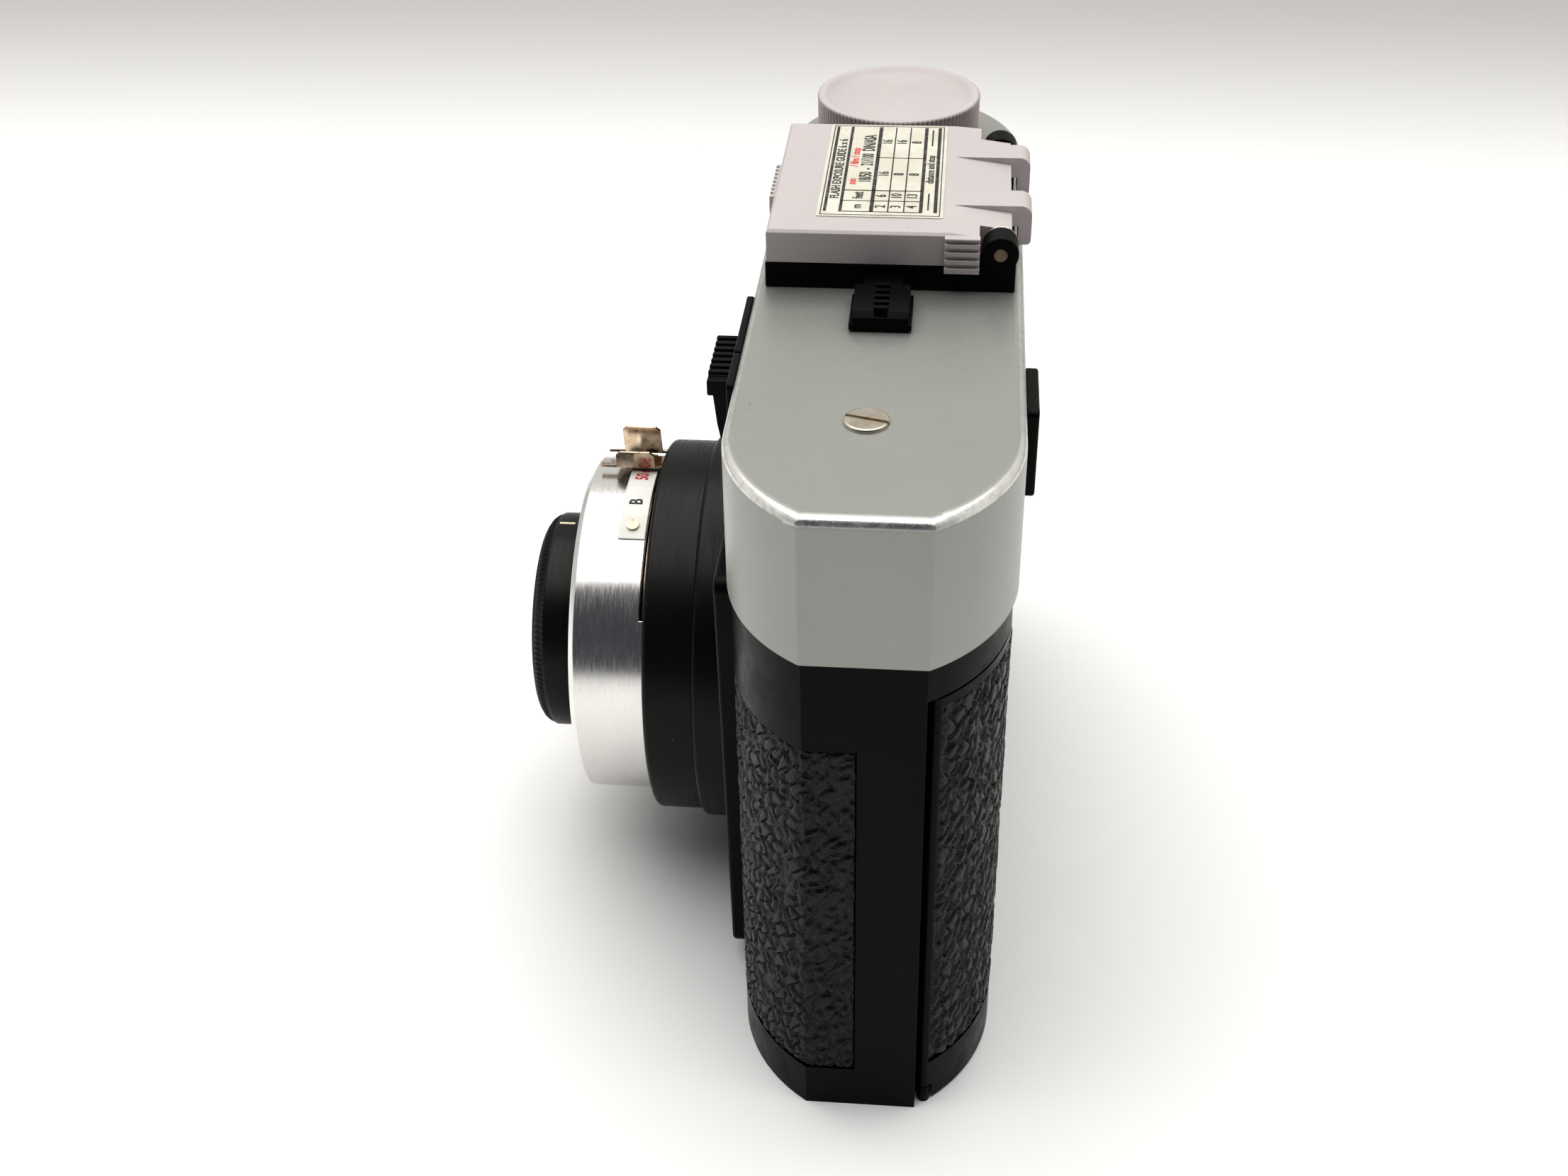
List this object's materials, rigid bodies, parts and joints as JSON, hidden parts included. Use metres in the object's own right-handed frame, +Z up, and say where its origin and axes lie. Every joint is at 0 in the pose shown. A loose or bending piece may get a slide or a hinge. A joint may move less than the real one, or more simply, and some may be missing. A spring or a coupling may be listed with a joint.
{
  "type": "film camera",
  "caption": "Roll-film viewfinder camera: moulded body, metal top cover, hinged back, winding knob, focusing lens, release lever and flip-up flash.",
  "frame": {"origin": "mouth of the tripod bush, at the middle of the base, on the surface the camera stands on", "axes": "+X towards the viewfinder end (the winding knob is at -X), +Y towards the back door (the lens looks along -Y), +Z up"},
  "size_m": [0.135, 0.0758, 0.1102],
  "materials": {
    "black_moulding": "semi-gloss moulded black plastic",
    "leatherette": "coarse pebbled black leatherette, semi-gloss",
    "satin_cover": "satin silver, bright on the worn edges",
    "pale_plastic": "pale pinkish-grey moulded plastic",
    "black_flange": "satin black lacquer",
    "spun_aluminium": "spun, fine circular turning marks",
    "nickel": "nickel-plated, slightly yellowed",
    "spring_steel": "bright spring steel",
    "black_steel": "matt black sheet steel",
    "scale_white": "white enamel with black and red figures",
    "label_ivory": "ivory card with a printed exposure table",
    "clear_glass": "polished clear glass",
    "red_plastic": "deep red clear plastic",
    "bright_reflector": "bright polished reflector",
    "brass": "turned brass",
    "flash_black": "deep black moulded plastic",
    "spool_plastic": "dark moulded plastic",
    "battery_case": "printed metal case",
    "capacitor_case": "lacquered metal case"
  },
  "bodies": {
    "camera": {"body_shell": "black_moulding", "front_leatherette": "leatherette", "light_cone": "flash_black", "film_rails": "spring_steel", "spool_pivots": "spring_steel", "film_brake": "spring_steel", "tripod_bush": "brass", "door_hinge_pin": "spring_steel", "front_plate": "black_moulding", "rear_flange": "black_flange", "front_flange": "black_flange", "barrel_ring": "spun_aluminium", "lens_tube": "spun_aluminium", "scale_strip": "scale_white", "scale_rivets": "nickel", "shutter_plate": "black_steel", "shutter_posts": "brass", "rear_lens": "clear_glass", "top_cover": "satin_cover", "cover_screw": "nickel", "finder_front_frame": "black_moulding", "finder_window": "clear_glass", "finder_tube": "flash_black", "finder_lens": "clear_glass", "eyepiece_frame": "black_moulding", "release_guide": "black_moulding", "knob_base": "pale_plastic", "click_spring": "spring_steel", "flash_base": "flash_black", "bulb_socket": "brass", "socket_contact": "brass", "battery": "battery_case", "battery_tray": "flash_black", "capacitor": "capacitor_case", "lid_hinge_pins": "nickel"},
    "door": {"back_door": "black_moulding", "door_leatherette": "leatherette", "pressure_plate": "black_steel", "pressure_springs": "spring_steel", "red_window": "red_plastic", "window_frame": "black_flange"},
    "window_shutter": {"window_slide": "spring_steel"},
    "latch": {"door_latch": "nickel"},
    "winder": {"wind_knob": "pale_plastic", "wind_shaft": "spring_steel", "takeup_spool": "spool_plastic", "ratchet_wheel": "brass"},
    "focus": {"focus_ring": "black_flange", "front_lens": "clear_glass", "lens_retainer": "black_steel"},
    "speed": {"speed_lever": "nickel"},
    "aperture": {"aperture_lever": "nickel"},
    "stop": {"aperture_disc": "black_steel"},
    "blade": {"shutter_blade": "black_steel"},
    "release": {"release_lever": "black_moulding"},
    "lid": {"flash_lid": "pale_plastic", "lid_label": "label_ivory", "reflector": "bright_reflector"},
    "ejector": {"bulb_ejector": "black_moulding"}
  },
  "joints": [
    {"name": "winding", "type": "hinge", "parent": "camera", "child": "winder", "pos_m": [-0.0467, -0.001, 0.1], "axis": [0, 0, 1], "continuous": true},
    {"name": "focusing", "type": "hinge", "parent": "camera", "child": "focus", "pos_m": [0, -0.05, 0.0366], "axis": [0, 1, 0], "range_deg": [-150, 120]},
    {"name": "speed_setting", "type": "hinge", "parent": "camera", "child": "speed", "pos_m": [0, -0.036, 0.0366], "axis": [0, 1, 0], "range_deg": [0, 16]},
    {"name": "aperture_setting", "type": "hinge", "parent": "camera", "child": "aperture", "pos_m": [0, -0.036, 0.0366], "axis": [0, 1, 0], "range_deg": [-22, 0]},
    {"name": "stop_swing", "type": "hinge", "parent": "camera", "child": "stop", "pos_m": [-0.016, -0.0316, 0.0366], "axis": [0, 1, 0], "range_deg": [-4, 50]},
    {"name": "blade_swing", "type": "hinge", "parent": "camera", "child": "blade", "pos_m": [0, -0.0295, 0.0196], "axis": [0, 1, 0], "range_deg": [-3, 65]},
    {"name": "release_press", "type": "slide", "parent": "camera", "child": "release", "axis": [0, 0, -1], "range_m": [0, 0.004], "stiffness_N_per_m": 400},
    {"name": "lid_opening", "type": "hinge", "parent": "camera", "child": "lid", "pos_m": [-0.013, 0.0154, 0.1069], "axis": [-1, 0, 0], "range_deg": [0, 90]},
    {"name": "ejector_pull", "type": "slide", "parent": "camera", "child": "ejector", "axis": [1, 0, 0], "range_m": [0, 0.0035], "stiffness_N_per_m": 300},
    {"name": "door_opening", "type": "hinge", "parent": "camera", "child": "door", "pos_m": [0.06479, 0.0091, 0.04], "axis": [0, 0, -1], "range_deg": [0, 100]},
    {"name": "latch_slide", "type": "slide", "parent": "camera", "child": "latch", "axis": [0, 0, 1], "range_m": [0, 0.0033]},
    {"name": "window_slide", "type": "slide", "parent": "door", "child": "window_shutter", "axis": [1, 0, 0], "range_m": [0, 0.0125]}
  ],
  "couplings": [
    {"joint": "stop_swing", "follows": "aperture_setting", "ratio": -1.818},
    {"joint": "blade_swing", "follows": "release_press", "rad_per_m": 239.98}
  ]
}
